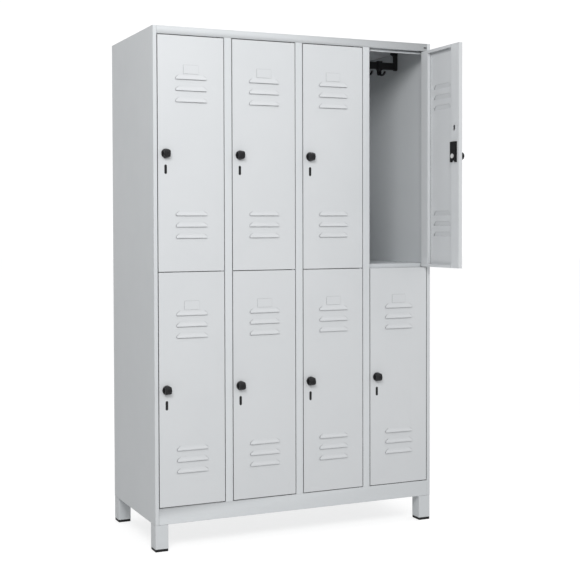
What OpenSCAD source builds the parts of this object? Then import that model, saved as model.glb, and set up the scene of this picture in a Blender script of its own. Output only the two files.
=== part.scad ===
// Steel locker cabinet: four columns of two lockers on square feet.
// Millimetres, +Z up. The origin is on the floor under the middle of the carcass, and the doors face -Y.
// Doors are hinged on their right edge. The upper door of the last column stands open at rest.

/* [Cabinet] */
// Overall width of the carcass
cabinet_w = 1200; // [960:10:1500]
// Overall depth of the carcass
cabinet_d = 500; // [380:10:620]
// Height of the carcass above its feet
carcass_h = 1850; // [1400:10:2300]
// Height of the feet under the carcass
foot_h = 100; // [80:5:150]
// Thickness of the folded sheet
sheet_t = 1; // [0.8:0.1:1.5]

/* [Front frame] */
// Width of the two outer stiles
outer_stile_w = 15; // [12:1:30]
// Width of the stiles between two columns
inner_stile_w = 30; // [24:1:50]
// Height of the top rail
top_rail_h = 30; // [24:1:50]
// Height of the bottom rail
bottom_rail_h = 62; // [40:1:90]
// Height of the door stops inside each opening
stop_h = 12; // [8:1:20]
// Height of the folded front of a shelf
shelf_front_h = 30; // [26:1:44]
// Width of the folds that the back panel is fixed to
back_fold_w = 15; // [10:1:25]

/* [Doors] */
// Gap round each door
door_gap = 3; // [2.5:0.5:5]
// Depth of a door
door_d = 16; // [14:0.5:20]
// Gap between a closed door and its stops
stop_gap = 2; // [1.5:0.5:4]
// Width of the box channel on a door's hinge side
hinge_channel_w = 53; // [40:1:64]
// Height of the folds along a door's top and bottom
door_lip_h = 11; // [8:1:18]
// Angle at which the open door stands
open_angle = 90; // [0:5:105]
// Widest angle that a door opens to
max_angle = 105; // [90:5:110]

/* [Hinges] */
// Diameter of a pivot pin
pin_d = 6; // [4:0.5:7]
// Distance of the pivot from the door's hinged edge
pin_edge = 9; // [7:0.5:12]
// Distance of the pivot behind the door's face
pin_back = 7; // [5:0.5:9]
// Radial clearance of a pin in the door's bores
pin_clear = 0.05; // [0.02:0.01:0.1]
// Length of a pin inside the door
pin_reach = 10; // [8:1:14]

/* [Locks] */
// Distance of the knob from the door's free edge
lock_edge = 30; // [24:1:40]
// Diameter of the knob
knob_d = 35; // [28:1:38]
// Height of the knob's round base
knob_base_h = 5; // [3:0.5:8]
// Height of the knob's domed grip above the base
grip_h = 17.5; // [12:0.5:21]
// Width of the knob's grip
grip_w = 25; // [18:0.5:28]
// Diameter of the sunk lock face in the grip
lock_face_d = 8; // [6:0.5:10]
// Diameter of the spindle
spindle_d = 8; // [6:0.5:10]
// How far the locked latch reaches behind the stile
latch_hold = 10; // [7:1:11]
// Width of the latch arm
latch_w = 14; // [10:1:16]
// Width of the lock case
case_w = 36; // [28:1:40]
// Length of the slot under the knob
slot_l = 35; // [20:1:42]
// Width of the slot under the knob
slot_w = 10; // [5:0.5:12]
// Distance of that slot below the knob
slot_drop = 58; // [52:1:64]

/* [Louvres and label field] */
// Width of a louvre
louvre_w = 122; // [80:1:130]
// Height of a louvre
louvre_h = 19; // [14:1:24]
// How far a louvre stands out of the door
louvre_out = 4.5; // [3:0.5:6]
// Distance from one louvre to the next
louvre_pitch = 42; // [34:1:50]
// Louvres in each of the two groups on a door
louvres = 3; // [1:1:3]
// Lower edge of the highest louvre below the door's top
louvre_drop = 161; // [150:1:180]
// Lower edge of the lowest louvre above the door's bottom
louvre_rise = 124; // [60:1:160]
// Width of the raised label field
label_w = 60; // [40:1:90]
// Height of the raised label field
label_h = 32; // [20:1:36]

/* [Coat rails] */
// Height of the rail's section
rail_h = 30; // [20:1:36]
// Thickness of the rail
rail_t = 10; // [8:1:14]
// Distance of the rail's top below the ceiling of the locker
rail_drop = 42; // [38:1:70]
// Distance of the rail in front of the middle of the cabinet
rail_forward = 0; // [-60:1:60]
// Distance from one hook to the next
hook_pitch = 62; // [50:1:75]
// Width of a hook
hook_w = 22; // [16:1:28]

/* [Feet] */
// Width of the square foot
foot_w = 52; // [52:1:70]
// Height of the black glide under each foot
glide_h = 10.5; // [5:0.5:15]

/* [Hidden] */
columns = 4;
tiers = 2;
tier_names = ["lower", "upper"];
open_column = columns - 1;
open_tier = tiers - 1;
hooks_per_rail = 3;
t = sheet_t;

// The stops lie clear of a closed door and of the door's hinged corners as they turn
slant = 5;
turn_gap = 0.45;
front_corner_r = norm([pin_edge, pin_back]);
back_corner_r = max(
    norm([pin_edge, door_d - slant - pin_back]),
    norm([pin_edge - slant, door_d - pin_back])
);
front_corner_in = front_corner_r * sin(min(90, max_angle - atan(pin_back / pin_edge)));
fold_d = max(door_d + stop_gap, pin_back + turn_gap + max(back_corner_r, front_corner_in));
hinge_gap = max(door_gap, front_corner_r + turn_gap - pin_edge);

// Levels of the carcass
floor_z = foot_h;
roof_z = foot_h + carcass_h;
opening_z0 = floor_z + bottom_rail_h;
opening_z1 = roof_z - top_rail_h;
deck_z = opening_z0 + stop_h + 2;
stop_z = opening_z1 + t - stop_h;
back_fold_z1 = roof_z - t - back_fold_w;

// Planes of the carcass
front_y = -cabinet_d / 2;
back_y = cabinet_d / 2;
stop_y = front_y + fold_d;
fold_y = back_y - 2 * t;
side_x = cabinet_w / 2;
frame_x = side_x - outer_stile_w;
back_x = side_x - t - back_fold_w;

// Doors and the openings that they close
opening_w = (cabinet_w - 2 * outer_stile_w - (columns - 1) * inner_stile_w) / columns;
door_w = opening_w - door_gap - hinge_gap;
door_h = (opening_z1 - opening_z0 - (tiers + 1) * door_gap) / tiers;
function opening_x(i) = -side_x + outer_stile_w + i * (opening_w + inner_stile_w);
function door_z(j) = opening_z0 + door_gap + j * (door_h + door_gap);
function pin_x(i) = opening_x(i) + opening_w - hinge_gap - pin_edge;
function rest_angle(i, j) = (i == open_column && j == open_tier) ? open_angle : 0;
pin_y = front_y + pin_back;
pin_r = pin_d / 2;
pin_fit = 0.02;
collar_t = 1.4;
collar_l = 4;

// Inside of each column, between the sheets beside it
function partition_x(i) = opening_x(i) - inner_stile_w / 2;
function inside_x0(i) = i == 0 ? -side_x + t : partition_x(i) + t / 2;
function inside_x1(i) = i == columns - 1 ? side_x - t : partition_x(i + 1) - t / 2;

// Shelf between the two tiers: its front fold reaches equally far behind both doors
mid_gap_z = door_z(1) - door_gap / 2;
shelf_z1 = mid_gap_z + shelf_front_h / 2;
shelf_z0 = mid_gap_z - shelf_front_h / 2;
shelf_fold = 18;
shelf_rear_h = 15;

// Pivot bracket between two doors, and the openings punched beside the pivots
bracket_clear = 0.5;
bracket_t = door_gap - 2 * bracket_clear;
bracket_r = 6.5;
bracket_arm = [3, 9];
pin_head_r = 5;
pin_head_h = 2;
punch_near = 23;
punch_far = 37;
punch_lock = [1, 21];

// Lock
lock_z = door_h / 2;
neck_d = 18;
neck_clear = 0.1;
knob_gap = 0.5;
grip_r = knob_d / 2 - 0.6;
grip_disc_r = knob_d / 2 - 0.3;
lock_face_in = 1.5;
latch_reach = lock_edge + door_gap + latch_hold;
latch_head_room = 10.5;
case_wall = 2.5;
case_up = latch_reach + latch_head_room + case_wall;
case_down = 24;
case_side_gap = 4;
lock_channel_w = lock_edge + case_w / 2 + case_side_gap + t;
leg_h = 8;
notch_w = case_w - 10;
body_gap = 1.3;
latch_clear = 0.6;
latch_y = fold_d + latch_clear;
latch_t = 2;
hub_r = 5;
hub_clear = 0.05;
disc_r = 9;
disc_h = 3;
disc_gap = 0.4;
case_back_t = 2;
case_back_y = latch_y + latch_t + 1.4;
spare_slot = [11, 23];
spare_slot_rise = 110;
slot_wall_z = 6;

// Louvre outline and section
louvre_cut = 15;
louvre_side = 6;
louvre_lip = 4;
label_out = 1;
label_above = 18;

// Coat rail and its hooks
rail_y = -rail_forward;
rail_side_gap = 0.25;
rail_l = opening_w + inner_stile_w - 2 * t - 2 * rail_side_gap;
bracket_top_w = 30;
bracket_top_t = 6;
bracket_neck_w = 14;
bracket_inset = 0.5;
bracket_d = 13;
bracket_flare_h = 24;
bracket_toe = 3;
hook_wall = 4;
hook_clear = 0.3;
hook_r = 25;
hook_wire_r = 4.5;
hook_tip_angle = 60;
hook_stem_t = 7;
hook_stem_h = 24;

// Foot and glide
foot_t = 2;
foot_top_t = 3;
spigot_in = fold_d + 2 * t;
spigot_edge = 2;
spigot_w = foot_w - spigot_in - spigot_edge;
glide_inset = 1;
glide_plug_h = 16;
glide_clear = 0.2;

// Blank plate on the top rail, with no mark
plate = [14, 0.6, 4.5];
plate_x = side_x - 24;
plate_z = roof_z - 17;

steel = [0.80, 0.82, 0.83];
shade = [0.72, 0.74, 0.76];
black = [0.09, 0.09, 0.10];
zinc = [0.75, 0.75, 0.74];

function door_part(kind) = [
    for (j = [tiers - 1:-1:0])
        for (i = [0:columns - 1])
            str(tier_names[j], "_", kind, "_", i + 1)
];
door_kinds = ["leaf", "channels", "lock_case", "knob", "latch"];

// ---- carcass ----

module slab(x0, x1, y0, y1, z0, z1) {
    translate([x0, y0, z0])
        cube([x1 - x0, y1 - y0, z1 - z0]);
}

// One side sheet with its front stile folded round to the door opening and a narrow fold at the back.
module side_panel() {
    color(steel)
        union() {
            slab(-side_x, -side_x + t, front_y, back_y, floor_z, roof_z - t);
            slab(-side_x, -frame_x, front_y, front_y + t, floor_z, roof_z - t);
            slab(-frame_x - t, -frame_x, front_y, stop_y, floor_z, roof_z - t);
            slab(-side_x, -side_x + t + back_fold_w, fold_y, fold_y + t, floor_z, roof_z - t);
        }
}

// Wall between two columns. Its front is folded into the stile between the neighbouring doors.
module partition(i) {
    x = partition_x(i);
    half = inner_stile_w / 2;
    color(steel)
        union() {
            slab(x - half, x + half, front_y, front_y + t, opening_z0, opening_z1);
            for (side = [-1, 1])
                translate([side * (half - t / 2), 0, 0])
                    slab(x - t / 2, x + t / 2, front_y, stop_y, opening_z0, opening_z1);
            slab(x - t / 2, x + t / 2, front_y, stop_y, opening_z0, opening_z1);
            slab(x - t / 2, x + t / 2, stop_y - t, stop_y + t, deck_z, opening_z1);
            slab(x - t / 2, x + t / 2, stop_y, fold_y, deck_z, roof_z - t);
            slab(x - t / 2, x + t / 2, fold_y - t, fold_y + t, deck_z + back_fold_w, back_fold_z1);
            slab(x - t / 2, x + back_fold_w, fold_y, fold_y + t, deck_z + back_fold_w, back_fold_z1);
        }
}

// Openings punched in a fold behind a rail: a short one at the lock side, and one beside the pivot.
module punched(i, z0, z1) {
    x0 = opening_x(i);
    x1 = opening_x(i) + opening_w;
    slab(x0 + punch_lock[0], x0 + punch_lock[1], front_y + 2 * t, stop_y - t, z0 - t, z1 + t);
    slab(x1 - punch_far, x1 - punch_near, front_y + 2 * t, stop_y - t, z0 - t, z1 + t);
}

// Roof sheet with the top rail, its fold, and the walls behind the rail that end in the door stops.
module roof() {
    color(steel)
        difference() {
            union() {
                slab(-side_x, side_x, front_y, back_y, roof_z - t, roof_z);
                slab(-frame_x, frame_x, front_y, front_y + t, opening_z1, roof_z);
                slab(-frame_x, frame_x, front_y, stop_y, opening_z1, opening_z1 + t);
                slab(-back_x, back_x, fold_y, fold_y + t, back_fold_z1, roof_z);
                for (i = [0:columns - 1])
                    translate([opening_x(i), 0, 0]) {
                        slab(0, opening_w, stop_y - t, stop_y + t, opening_z1, opening_z1 + t);
                        slab(0, opening_w, stop_y, stop_y + t, stop_z, roof_z - t / 2);
                    }
            }
            for (i = [0:columns - 1]) {
                punched(i, opening_z1, opening_z1 + t);
                translate([pin_x(i), pin_y, opening_z1 - t])
                    cylinder(r = pin_r + pin_fit, h = 3 * t, $fn = 48);
            }
        }
}

// Deck of the lower lockers with the boxed bottom rail and the lower door stops.
module deck() {
    color(steel)
        difference() {
            union() {
                slab(-side_x + t, side_x - t, stop_y, fold_y, deck_z - t, deck_z);
                slab(-back_x, back_x, fold_y - t, fold_y + t, deck_z - t, deck_z);
                slab(-back_x, back_x, fold_y, fold_y + t, deck_z - t, deck_z + back_fold_w);
                slab(-side_x + t, side_x - t, stop_y, stop_y + t, opening_z0 - t, deck_z);
                slab(-frame_x, frame_x, front_y, stop_y + t, opening_z0 - t, opening_z0);
                slab(-frame_x, frame_x, front_y, front_y + t, floor_z, opening_z0);
                slab(-frame_x, frame_x, front_y, stop_y + t, floor_z, floor_z + t);
                slab(-frame_x, frame_x, stop_y, stop_y + t, floor_z, opening_z0);
            }
            for (i = [0:columns - 1]) {
                punched(i, opening_z0 - t, opening_z0);
                translate([pin_x(i), pin_y, opening_z0 - 2 * t])
                    cylinder(r = pin_r + pin_fit, h = 3 * t, $fn = 48);
            }
        }
}

module back_panel() {
    color(shade)
        slab(-side_x + t, side_x - t, back_y - t, back_y, floor_z, roof_z - t);
}

// Shelf between the upper and the lower locker. Its front fold stops both doors.
module shelf(i) {
    color(steel)
        union() {
            slab(inside_x0(i), inside_x1(i), stop_y, fold_y, shelf_z1 - t, shelf_z1);
            slab(inside_x0(i), inside_x1(i), stop_y, stop_y + t, shelf_z0, shelf_z1);
            slab(inside_x0(i), inside_x1(i), stop_y, stop_y + shelf_fold, shelf_z0, shelf_z0 + t);
            slab(inside_x0(i), inside_x1(i), fold_y - t, fold_y, shelf_z1 - shelf_rear_h, shelf_z1);
        }
}

// ---- feet ----

module at_corners() {
    for (mx = [0, 1])
        for (my = [0, 1])
            mirror([mx, 0, 0])
                mirror([0, my, 0])
                    translate([-side_x, front_y, 0])
                        children();
}

// Square tube closed by a top plate, with a spigot that runs up inside the carcass to the deck.
module feet() {
    bore_w = foot_w - 2 * foot_t;
    color(steel)
        at_corners()
            union() {
                difference() {
                    translate([0, 0, glide_h])
                        cube([foot_w, foot_w, floor_z - glide_h]);
                    translate([foot_t, foot_t, glide_h - t])
                        cube([bore_w, bore_w, floor_z - glide_h - foot_top_t + t]);
                }
                translate([spigot_in, spigot_in, floor_z])
                    cube([spigot_w, spigot_w, deck_z - t - floor_z]);
            }
}

module foot_glides() {
    base_w = foot_w - 2 * glide_inset;
    plug_in = foot_t + glide_clear;
    plug_w = foot_w - 2 * plug_in;
    color(black)
        at_corners()
            union() {
                translate([glide_inset, glide_inset, 0])
                    cube([base_w, base_w, glide_h]);
                translate([plug_in, plug_in, glide_h])
                    cube([plug_w, plug_w, glide_plug_h]);
            }
}

// ---- pivots ----

// Flat tab in the gap between two doors, fixed to the stile's fold beside it.
module pivot_brackets() {
    color(steel)
        for (i = [0:columns - 1])
            translate([pin_x(i), pin_y, mid_gap_z - bracket_t / 2])
                difference() {
                    union() {
                        cylinder(r = bracket_r, h = bracket_t, $fn = 64);
                        translate([0, bracket_arm[0], 0])
                            cube([pin_edge + hinge_gap, bracket_arm[1] - bracket_arm[0], bracket_t]);
                    }
                    translate([0, 0, -t])
                        cylinder(r = pin_r + pin_fit, h = bracket_t + 2 * t, $fn = 48);
                }
}

// Top pins hang from the rail, bottom pins stand on the bottom rail, and a long pin serves two doors.
module pivot_pins() {
    color(zinc)
        for (i = [0:columns - 1])
            translate([pin_x(i), pin_y, 0]) {
                translate([0, 0, opening_z1 - door_gap - pin_reach])
                    cylinder(r = pin_r, h = pin_reach + door_gap + t, $fn = 48);
                translate([0, 0, opening_z1 + t])
                    cylinder(r = pin_head_r, h = pin_head_h, $fn = 48);
                translate([0, 0, mid_gap_z - door_gap / 2 - pin_reach])
                    cylinder(r = pin_r, h = 2 * pin_reach + door_gap, $fn = 48);
                translate([0, 0, opening_z0 - t])
                    cylinder(r = pin_r, h = pin_reach + door_gap + t, $fn = 48);
                translate([0, 0, opening_z0 - t - pin_head_h])
                    cylinder(r = pin_head_r, h = pin_head_h, $fn = 48);
            }
}

// ---- doors ----

// Puts a piece drawn with the door's lower left front corner at the origin at column i and tier j.
module at_door(i, j) {
    translate([pin_x(i), pin_y, door_z(j)])
        rotate([0, 0, rest_angle(i, j)])
            translate([-door_w + pin_edge, -pin_back, 0])
                children();
}

// Turns a flat outline so that it lies in the door's plane, with depth running back into the door.
module in_door_plane(y, depth) {
    translate([0, y + depth, 0])
        rotate([90, 0, 0])
            linear_extrude(height = depth)
                children();
}

// A louvre is a raised hood, open along its lower edge.
module louvre_outline(inset) {
    half = louvre_w / 2 - inset;
    polygon([
        [-half, 0], [half, 0],
        [half, louvre_side - inset], [half - louvre_cut, louvre_h - inset],
        [-half + louvre_cut, louvre_h - inset], [-half, louvre_side - inset]
    ]);
}

module louvre_hood(out, inset, back, below) {
    intersection() {
        translate([0, 0, -below])
            in_door_plane(-out - 1, out + back + 2)
                translate([0, below])
                    union() {
                        louvre_outline(inset);
                        translate([-louvre_w / 2 + inset, -below])
                            square([louvre_w - 2 * inset, below + 1]);
                    }
        translate([-louvre_w / 2, 0, 0])
            rotate([90, 0, 90])
                linear_extrude(height = louvre_w)
                    polygon([
                        [back, -below], [-out, -below], [-out, louvre_lip],
                        [-out + 0.8, louvre_lip + 2.5], [0, louvre_h - inset], [back, louvre_h - inset]
                    ]);
    }
}

module at_louvres() {
    for (k = [0:louvres - 1]) {
        translate([door_w / 2, 0, door_h - louvre_drop - k * louvre_pitch])
            children();
        translate([door_w / 2, 0, louvre_rise + k * louvre_pitch])
            children();
    }
}

module round_slot(w, l) {
    union() {
        square([w, l - w], center = true);
        for (s = [-1, 1])
            translate([0, s * (l - w) / 2])
                circle(d = w, $fn = 32);
    }
}

// Drawn collar round a pivot bore, which the pin turns in.
module pivot_collar() {
    cylinder(r = pin_r + pin_clear + collar_t, h = collar_l, $fn = 48);
}

module leaf() {
    color(steel)
        difference() {
            union() {
                difference() {
                    linear_extrude(height = door_h)
                        polygon([
                            [0, 0], [door_w, 0], [door_w, door_d - slant],
                            [door_w - slant, door_d], [0, door_d]
                        ]);
                    translate([t, t, t])
                        cube([door_w - 2 * t, door_d, door_h - 2 * t]);
                    translate([door_w - 2 * t, door_d - slant, t])
                        cube([3 * t, slant, door_h - 2 * t]);
                }
                for (z = [t, door_h - t - door_lip_h])
                    translate([lock_channel_w, door_d - t, z])
                        cube([door_w - lock_channel_w - hinge_channel_w, t, door_lip_h]);
                translate([door_w - pin_edge, pin_back, t])
                    pivot_collar();
                translate([door_w - pin_edge, pin_back, door_h - t - collar_l])
                    pivot_collar();
                at_louvres()
                    louvre_hood(louvre_out, 0, 0.5 * t, 0);
                translate([door_w / 2, 0, door_h - louvre_drop + louvre_h + label_above])
                    in_door_plane(-label_out, label_out)
                        square([label_w, label_h], center = true);
            }
            at_louvres()
                louvre_hood(louvre_out - t, t, 2 * t, 0.01);
            for (z = [-t, door_h - 2 * t - collar_l])
                translate([door_w - pin_edge, pin_back, z])
                    cylinder(r = pin_r + pin_clear, h = collar_l + 3 * t, $fn = 48);
            translate([lock_edge, 0, lock_z])
                in_door_plane(-t, 3 * t)
                    circle(d = neck_d + 2 * neck_clear, $fn = 64);
            translate([lock_edge, 0, lock_z - slot_drop])
                in_door_plane(-t, 3 * t)
                    round_slot(slot_w + 0.4, slot_l + 0.4);
        }
}

// Folded channels that box in the lock side and the hinge side. The first is cut out for the lock case.
module channels() {
    foot = 8;
    d = door_d;
    w = door_w;
    c = lock_channel_w;
    h = door_w - hinge_channel_w;
    color(shade) {
        difference() {
            translate([0, 0, t])
                linear_extrude(height = door_h - 2 * t)
                    polygon([
                        [t, d - t], [c - t, d - t], [c - t, t], [c + foot, t],
                        [c + foot, 2 * t], [c, 2 * t], [c, d], [t, d]
                    ]);
            translate([lock_edge, 0, lock_z + (case_up - case_down + leg_h) / 2])
                in_door_plane(d - 2 * t, 3 * t)
                    square([case_w + 0.4, case_up + case_down - leg_h + 0.4], center = true);
            translate([lock_edge, 0, lock_z + spare_slot_rise])
                in_door_plane(d - 2 * t, 3 * t)
                    round_slot(spare_slot[0], spare_slot[1]);
        }
        translate([0, 0, t])
            linear_extrude(height = door_h - 2 * t)
                polygon([
                    [w, d - slant], [w - slant, d], [h, d], [h, 2 * t], [h - foot, 2 * t], [h - foot, t],
                    [h + t, t], [h + t, d - t], [w - slant - 0.4 * t, d - t], [w - 1.4 * t, d - slant]
                ]);
    }
}

// Black lock case: a body behind the door's face, a filler in the slot, and a cover round the latch arm.
module lock_case() {
    low = lock_z - case_down;
    high = lock_z + case_up;
    x0 = lock_edge - case_w / 2;
    body_y = door_d + body_gap;
    case_y1 = case_back_y + case_back_t;
    filler_w = slot_w + 8;
    color(black)
        difference() {
            union() {
                translate([x0, t, low + leg_h])
                    cube([case_w, body_y - t, high - low - leg_h]);
                translate([lock_edge, 0, lock_z])
                    in_door_plane(0, t)
                        circle(d = neck_d, $fn = 64);
                translate([lock_edge - filler_w / 2, t, lock_z - slot_drop - slot_l / 2 - slot_wall_z])
                    cube([filler_w, 5 * t, slot_drop + slot_l / 2 + slot_wall_z]);
                translate([lock_edge, 0, lock_z - slot_drop])
                    in_door_plane(0.3, t)
                        round_slot(slot_w, slot_l);
                translate([x0, door_d, low])
                    cube([case_w, case_y1 - door_d, high - low]);
            }
            // swing space of the latch arm, open towards the stile
            translate([x0 - 1, body_y, low - 1])
                cube([case_w + 1 - case_wall, case_back_y - body_y, high - low - case_wall + 1]);
            // notch between the two legs
            translate([lock_edge, 0, low + leg_h - notch_w / 2])
                in_door_plane(door_d - 0.5 * t, case_y1 - door_d + t)
                    circle(d = notch_w, $fn = 48);
            // bores of the spindle and of the latch hub
            translate([lock_edge, 0, lock_z])
                in_door_plane(-t, case_back_y)
                    circle(r = spindle_d / 2 + hub_clear, $fn = 48);
            translate([lock_edge, 0, lock_z])
                in_door_plane(case_back_y - 0.5, case_back_t + 1)
                    circle(r = hub_r + hub_clear, $fn = 48);
        }
}

// Round base with a grip that is domed from the side, and a spindle that runs in to the latch.
module knob() {
    base_y = -knob_gap - knob_base_h;
    front = base_y - grip_h;
    color(black)
        translate([lock_edge, 0, lock_z])
            difference() {
                union() {
                    in_door_plane(base_y, knob_base_h)
                        circle(d = knob_d, $fn = 96);
                    intersection() {
                        translate([-grip_w / 2, front + grip_r, 0])
                            rotate([0, 90, 0])
                                cylinder(r = grip_r, h = grip_w, $fn = 96);
                        in_door_plane(front - 1, grip_h + 1.5)
                            circle(r = grip_disc_r, $fn = 96);
                    }
                    in_door_plane(-knob_gap - 0.5, latch_y + knob_gap + 0.5)
                        circle(d = spindle_d, $fn = 48);
                }
                in_door_plane(front - 1, lock_face_in + 1)
                    circle(d = lock_face_d, $fn = 48);
            }
}

// Latch arm, hub and end disc behind the door. The arm points up when the lock is free.
module latch() {
    hub_end = case_back_y + case_back_t + disc_gap;
    color(zinc)
        translate([lock_edge, 0, lock_z])
            union() {
                in_door_plane(latch_y, latch_t)
                    union() {
                        translate([-latch_w / 2, 0])
                            square([latch_w, latch_reach - latch_w / 2]);
                        circle(d = latch_w, $fn = 64);
                        translate([0, latch_reach - latch_w / 2])
                            circle(d = latch_w, $fn = 64);
                    }
                in_door_plane(latch_y, hub_end - latch_y + 0.5)
                    circle(r = hub_r, $fn = 48);
                in_door_plane(hub_end, disc_h)
                    circle(r = disc_r, $fn = 64);
            }
}

// ---- coat rails ----

// Ceiling of a locker: the roof over the upper tier, the shelf over the lower one.
function ceiling_z(j) = j == tiers - 1 ? roof_z - t : shelf_z1 - t;

module at_lockers() {
    for (i = [0:columns - 1])
        for (j = [0:tiers - 1])
            translate([opening_x(i) + opening_w / 2, rail_y, ceiling_z(j) - rail_drop])
                children();
}

// Moulded rail with a flared bracket up to the ceiling at each end. Its origin is the top of the rail.
module coat_rails() {
    half = rail_l / 2;
    outer = half - bracket_inset;
    inner = outer - bracket_neck_w;
    color(black)
        at_lockers()
            union() {
                translate([-outer, -rail_t / 2, -rail_h])
                    cube([2 * outer, rail_t, rail_h]);
                for (s = [0, 1])
                    mirror([s, 0, 0])
                        translate([0, bracket_d / 2, 0])
                            rotate([90, 0, 0])
                                linear_extrude(height = bracket_d)
                                    polygon([
                                        [half, rail_drop], [half - bracket_top_w, rail_drop],
                                        [half - bracket_top_w, rail_drop - bracket_top_t],
                                        [inner - 3, rail_drop - bracket_flare_h * 0.6],
                                        [inner, rail_drop - bracket_flare_h],
                                        [inner, -rail_h - bracket_toe],
                                        [outer - 3, -rail_h - bracket_toe], [outer, -rail_h],
                                        [outer, rail_drop - bracket_flare_h * 0.6],
                                        [half, rail_drop - bracket_top_t]
                                    ]);
            }
}

// Hook clipped over the rail. Its prong starts inside the clip's floor and bends down, forward and up.
module coat_hooks() {
    clip_d = rail_t + 2 * (hook_clear + hook_wall);
    clip_h = rail_h + 2 * (hook_clear + hook_wall);
    clip_z = -rail_h - hook_clear - hook_wall;
    color(black)
        at_lockers()
            for (k = [0:hooks_per_rail - 1])
                translate([(k - (hooks_per_rail - 1) / 2) * hook_pitch, 0, 0])
                    union() {
                        difference() {
                            translate([-hook_w / 2, -clip_d / 2, clip_z])
                                cube([hook_w, clip_d, clip_h]);
                            translate([-hook_w, -rail_t / 2 - hook_clear, -rail_h - hook_clear])
                                cube([2 * hook_w, rail_t + 2 * hook_clear, rail_h + 2 * hook_clear]);
                        }
                        translate([0, hook_stem_t / 2, clip_z + hook_wall / 2])
                            rotate([90, 0, 0])
                                linear_extrude(height = hook_stem_t)
                                    polygon([
                                        [-hook_w / 2 + 1, 0], [-hook_w / 2 + 1, -14], [-6, -hook_stem_h],
                                        [6, -hook_stem_h], [hook_w / 2 - 1, -14], [hook_w / 2 - 1, 0]
                                    ]);
                        translate([0, -hook_r, clip_z + hook_wall / 3])
                            rotate([0, 90, 0])
                                rotate([0, 0, -hook_tip_angle])
                                    rotate_extrude(angle = 90 + hook_tip_angle, $fn = 96)
                                        translate([hook_r, 0])
                                            circle(r = hook_wire_r, $fn = 32);
                    }
}

module blank_plate() {
    color(black)
        translate([plate_x - plate[0] / 2, front_y - plate[1], plate_z - plate[2] / 2])
            cube(plate);
}

// ---- nodes ----

side_panel();  // side_panel_left
mirror([1, 0, 0]) side_panel();  // side_panel_right
roof();
deck();
back_panel();
for (i = [1:columns - 1])
    partition(i);
for (i = [0:columns - 1])
    shelf(i);
feet();
foot_glides();
pivot_brackets();
pivot_pins();
coat_rails();
coat_hooks();
blank_plate();
for (i = [0:columns - 1])
    for (j = [0:tiers - 1]) {
        at_door(i, j) leaf();
        at_door(i, j) channels();
        at_door(i, j) lock_case();
        at_door(i, j) knob();
        at_door(i, j) latch();
    }
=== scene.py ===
"""Locker cabinet: folded sheet steel with a powder coat, black locks and moulded coat rails."""

import math

import bmesh
import bpy
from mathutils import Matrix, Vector


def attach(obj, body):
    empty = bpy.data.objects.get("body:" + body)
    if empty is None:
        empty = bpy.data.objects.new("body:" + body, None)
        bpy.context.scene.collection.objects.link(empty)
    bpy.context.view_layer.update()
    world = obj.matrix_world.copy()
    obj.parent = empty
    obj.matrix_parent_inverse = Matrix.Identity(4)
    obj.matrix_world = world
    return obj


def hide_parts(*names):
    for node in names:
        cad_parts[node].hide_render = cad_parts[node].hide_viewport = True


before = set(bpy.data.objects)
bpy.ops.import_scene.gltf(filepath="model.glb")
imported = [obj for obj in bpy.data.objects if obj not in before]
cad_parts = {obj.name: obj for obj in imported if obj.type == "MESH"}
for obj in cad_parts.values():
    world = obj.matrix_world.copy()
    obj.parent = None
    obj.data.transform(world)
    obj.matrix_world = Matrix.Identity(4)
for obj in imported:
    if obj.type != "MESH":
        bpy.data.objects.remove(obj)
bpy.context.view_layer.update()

MM = 0.001
COLUMNS = (1, 2, 3, 4)
WALLS = (1, 2, 3)
TIERS = ("upper", "lower")
DOORS = [(tier, column) for tier in TIERS for column in COLUMNS]


# ---- materials ----

# tones, as shares of a finish's own colour
RUBBED_TONE = 0.93
# the fold and gap tones are painted shade, darkening folds and the gaps round the doors
FOLD_SHADE_TONE = 0.70
GAP_SHADE_TONE = 0.22
CLOUD_TONE = 1.35
SCUFF_TONE = 2.6

# how near a face has to be for a fold, or for the gap round a door, to get painted shade
FOLD_SHADE_REACH = 0.005
GAP_SHADE_REACH = 0.006
CREASE_SHADE_SAMPLES = 6

# heights of the fine skins, in metres
PEEL_HEIGHT = 0.00012
GRAIN_HEIGHT = 0.00004
MOULD_HEIGHT = 0.00005
TURNING_HEIGHT = 0.00003


def toned(colour, share):
    """A colour made lighter or darker by a share."""
    return tuple(share * c for c in colour)


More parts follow.
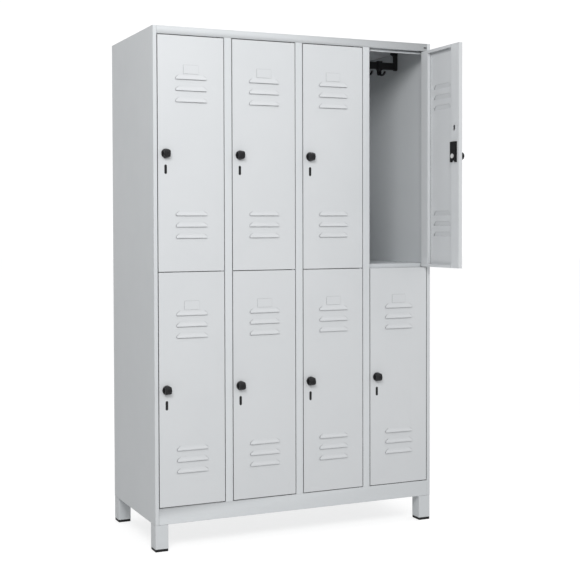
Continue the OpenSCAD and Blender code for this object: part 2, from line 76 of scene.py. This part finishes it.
class Finish:
    """A material's node tree, with short calls for the nodes that the finishes share."""

    def __init__(self, name):
        self.material = bpy.data.materials.new(name)
        self.material.use_nodes = True
        self.tree = self.material.node_tree
        self.shader = self.tree.nodes["Principled BSDF"]
        self.place = self.add("ShaderNodeTexCoord").outputs["Object"]

    def add(self, kind, **values):
        node = self.tree.nodes.new(kind)
        for key, value in values.items():
            setattr(node, key, value)
        return node

    def link(self, a, b):
        self.tree.links.new(a, b)

    def stretched(self, scale):
        """Object coordinates with one scale for each axis."""
        node = self.add("ShaderNodeMapping")
        node.inputs["Scale"].default_value = scale
        self.link(self.place, node.inputs["Vector"])
        return node.outputs["Vector"]

    def noise(self, scale, detail=3.0, rough=0.55, distort=0.0, place=None):
        node = self.add("ShaderNodeTexNoise")
        node.inputs["Scale"].default_value = scale
        node.inputs["Detail"].default_value = detail
        node.inputs["Roughness"].default_value = rough
        node.inputs["Distortion"].default_value = distort
        self.link(place or self.place, node.inputs["Vector"])
        return node.outputs["Fac"]

    def remap(self, source, low, high, start=0.3, end=0.7):
        """Turns the span from start to end into the span from low to high."""
        node = self.add("ShaderNodeMapRange")
        spans = {"From Min": start, "From Max": end, "To Min": low, "To Max": high}
        for key, value in spans.items():
            node.inputs[key].default_value = value
        self.link(source, node.inputs["Value"])
        return node.outputs["Result"]

    def mix(self, factor, a, b):
        """Blends two colours; either may be a socket or a fixed colour."""
        node = self.add("ShaderNodeMix", data_type="RGBA")
        self.link(factor, node.inputs["Factor"])
        for key, value in (("A", a), ("B", b)):
            socket = next(s for s in node.inputs if s.name == key and s.type == "RGBA")
            if isinstance(value, tuple):
                socket.default_value = (*value, 1.0)
            else:
                self.link(value, socket)
        return next(s for s in node.outputs if s.type == "RGBA")

    def crease_shade(self, reach, start, end, own=True):
        """Painted shade mask: zero in a tight crease, of the piece alone or with its neighbours,
        and one elsewhere.
        """
        node = self.add("ShaderNodeAmbientOcclusion", samples=CREASE_SHADE_SAMPLES, only_local=own)
        node.inputs["Distance"].default_value = reach
        return self.remap(node.outputs["AO"], 0.0, 1.0, start, end)

    def bump(self, height, distance, strength, under=None):
        node = self.add("ShaderNodeBump")
        node.inputs["Strength"].default_value = strength
        node.inputs["Distance"].default_value = distance
        self.link(height, node.inputs["Height"])
        if under is not None:
            self.link(under, node.inputs["Normal"])
        return node.outputs["Normal"]

    def finish(self, colour, roughness, normal=None, **constants):
        """Joins the colour, roughness and skin to the shader, and sets its constants."""
        self.link(colour, self.shader.inputs["Base Color"])
        self.link(roughness, self.shader.inputs["Roughness"])
        if normal is not None:
            self.link(normal, self.shader.inputs["Normal"])
        for key, value in constants.items():
            self.shader.inputs[key.replace("_", " ")].default_value = value
        return self.material


def powder_coat(name, light, dark):
    """Sprayed powder coat: a fine orange-peel skin, faint clouding, a few rubbed places, and
    painted shade in its folds and in the gaps round the doors.
    """
    coat = Finish(name)
    cloud = coat.noise(2.6, detail=4.0, rough=0.6, distort=0.4)
    colour = coat.mix(coat.remap(cloud, 0.0, 1.0, 0.35, 0.65), light, dark)
    upright = coat.stretched((1.0, 1.0, 0.25))
    rub = coat.noise(34.0, detail=6.0, rough=0.7, distort=1.2, place=upright)
    rubbed = coat.remap(rub, 0.0, 1.0, 0.66, 0.80)
    colour = coat.mix(rubbed, colour, toned(light, RUBBED_TONE))
    # painted shade in the piece's own folds and creases
    colour = coat.mix(coat.crease_shade(FOLD_SHADE_REACH, 0.55, 0.97), toned(dark, FOLD_SHADE_TONE), colour)
    # painted shade in the narrow gaps between a piece and its neighbours, such as round the doors
    gap_shade = coat.crease_shade(GAP_SHADE_REACH, 0.30, 0.62, own=False)
    colour = coat.mix(gap_shade, toned(dark, GAP_SHADE_TONE), colour)
    sheen = coat.noise(9.0, detail=5.0, rough=0.6)
    roughness = coat.remap(sheen, 0.40, 0.50)
    peel = coat.bump(coat.noise(420.0, detail=2.0, rough=0.5), PEEL_HEIGHT, 0.35)
    grain = coat.noise(1900.0, detail=2.0, rough=0.6)
    skin = coat.bump(grain, GRAIN_HEIGHT, 0.35, under=peel)
    return coat.finish(colour, roughness, skin, Specular_IOR_Level=0.45)


def moulded(name, tone, shine):
    """Dark moulded plastic with a fine spark-eroded grain and paler scuffs."""
    skin = Finish(name)
    cloud = skin.noise(60.0, detail=4.0)
    colour = skin.mix(skin.remap(cloud, 0.0, 1.0), tone, toned(tone, CLOUD_TONE))
    scuff = skin.noise(260.0, detail=5.0, rough=0.7, distort=1.5)
    scuffed = skin.remap(scuff, 0.0, 0.6, 0.68, 0.82)
    colour = skin.mix(scuffed, colour, toned(tone, SCUFF_TONE))
    roughness = skin.remap(skin.noise(150.0, detail=4.0), shine - 0.06, shine + 0.08)
    grain = skin.bump(skin.noise(1600.0, detail=3.0), MOULD_HEIGHT, 0.5)
    return skin.finish(colour, roughness, grain, Specular_IOR_Level=0.3)


def plated(name, light, dark):
    """Bright zinc plate with fine turning marks and a slightly clouded shine."""
    metal = Finish(name)
    cloud = metal.noise(140.0, detail=5.0, rough=0.6)
    colour = metal.mix(metal.remap(cloud, 0.0, 1.0), light, dark)
    upright = metal.stretched((1.0, 1.0, 0.15))
    marks = metal.noise(900.0, detail=4.0, rough=0.7, place=upright)
    roughness = metal.remap(marks, 0.36, 0.52)
    turned = metal.bump(marks, TURNING_HEIGHT, 0.6)
    return metal.finish(colour, roughness, turned, Metallic=0.35)


DOOR_COAT = powder_coat("door_powder_coat", (0.648, 0.665, 0.680), (0.630, 0.648, 0.664))
BODY_COAT = powder_coat("carcass_powder_coat", (0.630, 0.652, 0.668), (0.612, 0.635, 0.652))
KNOB_BLACK = moulded("knob_satin_black", (0.011, 0.011, 0.012), 0.30)
LOCK_BLACK = moulded("lock_case_black", (0.009, 0.009, 0.010), 0.46)
RAIL_BLACK = moulded("rail_black", (0.011, 0.011, 0.012), 0.50)
GLIDE_BLACK = moulded("glide_black", (0.010, 0.010, 0.011), 0.55)
PLATE_DARK = moulded("blank_plate_dark", (0.050, 0.051, 0.054), 0.35)
ZINC = plated("zinc_plate", (0.86, 0.86, 0.85), (0.74, 0.75, 0.75))


# ---- pieces taken from the frame, with their folds and edges rounded ----

# lengths in metres, and angles in radians
MERGE_DISTANCE = 2e-6
FLAT_ANGLE = math.radians(0.3)
SMOOTH_ANGLE = math.radians(50)
FOLD_ANGLE = 0.5
EDGE_ANGLE = 0.9
FULL_WEIGHT = 100

# a face has to be this many times as wide as the radius that rounds its edge
FOLD_ROOM = 2.3
EDGE_ROOM = 2.2
LENGTH_ROOM = 2.0

# where along an edge the width of its face is measured
WIDTH_PLACES = (0.2, 0.5, 0.8)
WIDEST = 1.0
PARALLEL = 1e-9
TOUCHING = 1e-6


def inward(face, edge):
    """Unit direction in a face's plane, square to one of its edges and pointing into the face."""
    a, b = (v.co for v in edge.verts)
    along = (b - a).normalized()
    side = face.normal.cross(along)
    loop = next(l for l in face.loops if l.edge == edge)
    return side if (loop.link_loop_next.vert.co - loop.vert.co).dot(along) > 0 else -side


def width_at(face, edge):
    """The least width of a face beside one of its edges, measured at three places on it."""
    a, b = (v.co for v in edge.verts)
    side = inward(face, edge)
    along = (b - a).normalized()
    least = WIDEST
    for part in WIDTH_PLACES:
        start = a.lerp(b, part)
        for other in face.edges:
            if other == edge:
                continue
            p, q = (v.co - start for v in other.verts)
            p0, q0 = p.dot(along), q.dot(along)
            if p0 * q0 > 0 or abs(p0 - q0) < PARALLEL:
                continue
            reach = p.dot(side) + (q.dot(side) - p.dot(side)) * p0 / (p0 - q0)
            if reach > TOUCHING:
                least = min(least, reach)
    return least


def least_width(edge):
    """The narrower of the two faces that meet at an edge."""
    return min(width_at(face, edge) for face in edge.link_faces)


def sharp_edges(bm, angle):
    """Edges where two faces meet at a clear angle."""
    return [e for e in bm.edges if len(e.link_faces) == 2 and e.calc_face_angle(0.0) > angle]


def round_edges(bm, edges, radius, segments):
    bmesh.ops.bevel(
        bm,
        geom=edges,
        offset=radius,
        offset_type="OFFSET",
        affect="EDGES",
        segments=segments,
        profile=0.5,
        material=-1,
        clamp_overlap=True,
    )


def merged_copy(node):
    """The merged mesh of a frame node, with its flat faces made whole."""
    bm = bmesh.new()
    bm.from_mesh(bpy.data.objects[node].data)
    bmesh.ops.remove_doubles(bm, verts=bm.verts, dist=MERGE_DISTANCE)
    bmesh.ops.dissolve_limit(bm, angle_limit=FLAT_ANGLE, verts=bm.verts, edges=bm.edges)
    return bm


def stand_in(bm, name, node, material, body):
    """Turns a finished bmesh into a piece that stands for a frame node."""
    mesh = bpy.data.meshes.new(name)
    bm.to_mesh(mesh)
    bm.free()
    for face in mesh.polygons:
        face.use_smooth = True
    mesh.set_sharp_from_angle(angle=SMOOTH_ANGLE)
    mesh.materials.append(material)
    piece = bpy.data.objects.new(name, mesh)
    bpy.context.scene.collection.objects.link(piece)
    normals = piece.modifiers.new("flat_normals", "WEIGHTED_NORMAL")
    normals.keep_sharp = True
    normals.weight = FULL_WEIGHT
    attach(piece, body)
    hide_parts(node)
    return piece


def softened(name, node, material, body, fold, edge, segments=3):
    """A frame node with its broad folds rounded by one radius and its thin edges by another."""
    bm = merged_copy(node)
    bm.faces.ensure_lookup_table()
    broad = [
        e
        for e in sharp_edges(bm, FOLD_ANGLE)
        if e.is_convex
        and least_width(e) > FOLD_ROOM * fold
        and e.calc_length() > LENGTH_ROOM * fold
    ]
    if fold and broad:
        round_edges(bm, broad, fold, segments)
    thin = [
        e
        for e in sharp_edges(bm, EDGE_ANGLE)
        if least_width(e) > EDGE_ROOM * edge and e.calc_length() > EDGE_ROOM * edge
    ]
    if edge and thin:
        round_edges(bm, thin, edge, 1)
    return stand_in(bm, name, node, material, body)


SHEETS = ["side_panel_left", "side_panel_right", "roof", "deck", "back_panel"]
SHEETS += ["partition_%d" % i for i in WALLS] + ["shelf_%d" % i for i in COLUMNS]
SHEET_FOLD = 1.2 * MM
SHEET_EDGE = 0.3 * MM

# piece, node, finish, slot, then in mm the radius of its folds and of its edges, and the steps
CARCASS_PIECES = (
    ("foot_tubes", "feet", BODY_COAT, "carcass_paint", 3.0, 0.4, 4),
    ("foot_glide_caps", "foot_glides", GLIDE_BLACK, "black_glide", 1.0, 0, 3),
    ("pivot_tabs", "pivot_brackets", BODY_COAT, "carcass_paint", 0, 0.3, 3),
    ("pivot_pin_set", "pivot_pins", ZINC, "bright_steel", 0, 0.4, 3),
    ("coat_rail_mouldings", "coat_rails", RAIL_BLACK, "black_moulding", 2.0, 0.5, 3),
    ("coat_hook_mouldings", "coat_hooks", RAIL_BLACK, "black_moulding", 1.2, 0.4, 3),
    ("plain_plate", "blank_plate", PLATE_DARK, "plate_dark", 0, 0.15, 3),
)

# the same for one door, with the body that each piece rides on before its slot
DOOR_PIECES = (
    ("leaf", "leaf", DOOR_COAT, "door", "door_paint", 1.5, 0.3, 3),
    ("box_channels", "channels", DOOR_COAT, "door", "door_paint", 1.5, 0.3, 3),
    ("case", "lock_case", LOCK_BLACK, "door", "black_lock", 1.0, 0.3, 3),
    ("knob", "knob", KNOB_BLACK, "lock", "black_knob", 1.6, 0.3, 3),
    ("latch", "latch", ZINC, "lock", "bright_steel", 0.5, 0.3, 2),
)

for node in SHEETS:
    softened(node + "_sheet", node, BODY_COAT, "carcass", SHEET_FOLD, SHEET_EDGE)

for piece, node, finish, slot, fold, edge, steps in CARCASS_PIECES:
    softened(piece, node, finish, "carcass", fold * MM, edge * MM, steps)

for tier, column in DOORS:
    for piece, part, finish, rides_on, slot, fold, edge, steps in DOOR_PIECES:
        name = "%s_%s_%d" % (piece, tier, column)
        node = "%s_%s_%d" % (tier, part, column)
        body = "%s_%s_%d" % (tier, rides_on, column)
        softened(name, node, finish, body, fold * MM, edge * MM, steps)


# ---- studio ----

FLOOR_RADIUS = 40.0
FLOOR_SIDES = 96
FLOOR_TONE = 0.40
FLOOR_CLOUD = 0.985
FLOOR_GLOW = 0.72
# the share of the floor's glow that lights the cabinet
GLOW_CAST = 0.4

# the backdrop's strength away from its darker side, on that side, and as the camera sees it
BACKDROP_BRIGHT = 1.05
BACKDROP_DIM = 0.30
BACKDROP_SEEN = 1.05
DARK_SIDE = (-0.9, -0.45, 0.0)
DARK_FROM = -0.3
DARK_TO = 0.5

# place, aim, size in metres and power in watts
FRONT_SOFTBOX = ((-1.9, -3.3, 3.3), (0.1, -0.25, 1.2), (2.0, 1.5), 107.0)
LOCKER_FILL = ((0.325, 0.12, 1.42), (0.6, 0.12, 1.38), (0.2, 0.7), 0.08)

CAMERA_PLACE = (-1.93404, -4.01691, 1.20427)
# degrees: below level, rolled, and turned to the right
CAMERA_TURN = (1.44315, 0.25835, 22.10382)
CAMERA_LENS = 67.26966
CAMERA_SENSOR = 36.0
CAMERA_SHIFT = (0.15, -0.06)
CAMERA_REACH = 100.0


def light_table(name, tone, glow):
    """White sheet lit from below, so that a shadow on it stays pale."""
    surface = Finish(name)
    cloud = surface.remap(surface.noise(1.2), 0.0, 1.0)
    colour = surface.mix(cloud, (tone,) * 3, (tone * FLOOR_CLOUD,) * 3)
    rough = surface.remap(surface.noise(3.0), 0.87, 0.93)
    seen = surface.add("ShaderNodeLightPath").outputs["Is Camera Ray"]
    strength = surface.remap(seen, GLOW_CAST * glow, glow, 0.0, 1.0)
    surface.link(strength, surface.shader.inputs["Emission Strength"])
    white = (1.0, 1.0, 1.0, 1.0)
    return surface.finish(colour, rough, Specular_IOR_Level=0.0, Emission_Color=white)


def floor_sheet():
    """A round white sheet, much wider than any view of the cabinet."""
    bm = bmesh.new()
    bmesh.ops.create_circle(
        bm, cap_ends=True, cap_tris=False, segments=FLOOR_SIDES, radius=FLOOR_RADIUS
    )
    mesh = bpy.data.meshes.new("studio_floor")
    bm.to_mesh(mesh)
    bm.free()
    mesh.materials.append(light_table("studio_floor_white", FLOOR_TONE, FLOOR_GLOW))
    floor = bpy.data.objects.new("studio_floor", mesh)
    bpy.context.scene.collection.objects.link(floor)


def area_light(name, place, aim, size, power):
    data = bpy.data.lights.new(name, "AREA")
    data.shape = "RECTANGLE"
    data.size, data.size_y = size
    data.energy = power
    lamp = bpy.data.objects.new(name, data)
    lamp.location = place
    lamp.rotation_mode = "QUATERNION"
    lamp.rotation_quaternion = (Vector(aim) - Vector(place)).to_track_quat("-Z", "Y")
    bpy.context.scene.collection.objects.link(lamp)
    return lamp


def backdrop():
    """White all round to the camera; its light on the cabinet falls off to the left and front."""
    world = bpy.data.worlds.new("studio_white")
    world.use_nodes = True
    tree = world.node_tree
    back = tree.nodes["Background"]
    back.inputs["Color"].default_value = (1.0, 1.0, 1.0, 1.0)
    place = tree.nodes.new("ShaderNodeTexCoord")
    toward = tree.nodes.new("ShaderNodeVectorMath")
    toward.operation = "DOT_PRODUCT"
    toward.inputs[1].default_value = DARK_SIDE
    tree.links.new(place.outputs["Generated"], toward.inputs[0])
    fall = tree.nodes.new("ShaderNodeMapRange")
    spans = {
        "From Min": DARK_FROM,
        "From Max": DARK_TO,
        "To Min": BACKDROP_BRIGHT,
        "To Max": BACKDROP_DIM,
    }
    for key, value in spans.items():
        fall.inputs[key].default_value = value
    tree.links.new(toward.outputs["Value"], fall.inputs["Value"])
    seen = tree.nodes.new("ShaderNodeLightPath")
    choice = tree.nodes.new("ShaderNodeMix")
    choice.inputs["B"].default_value = BACKDROP_SEEN
    tree.links.new(seen.outputs["Is Camera Ray"], choice.inputs["Factor"])
    tree.links.new(fall.outputs["Result"], choice.inputs["A"])
    tree.links.new(choice.outputs["Result"], back.inputs["Strength"])
    bpy.context.scene.world = world


def lamps():
    """One large softbox at the front left, and a small lamp that lifts the open locker's shade."""
    area_light("front_softbox", *FRONT_SOFTBOX)
    inside = area_light("locker_fill", *LOCKER_FILL)
    inside.visible_camera = False


def camera():
    data = bpy.data.cameras.new("camera")
    data.sensor_width = CAMERA_SENSOR
    data.lens = CAMERA_LENS
    data.shift_x, data.shift_y = CAMERA_SHIFT
    data.clip_end = CAMERA_REACH
    cam = bpy.data.objects.new("camera", data)
    cam.location = CAMERA_PLACE
    down, roll, right = CAMERA_TURN
    cam.rotation_euler = (math.radians(90.0 - down), math.radians(roll), math.radians(-right))
    bpy.context.scene.collection.objects.link(cam)
    bpy.context.scene.camera = cam


floor_sheet()
backdrop()
lamps()
camera()
bpy.context.scene.view_settings.view_transform = "Standard"
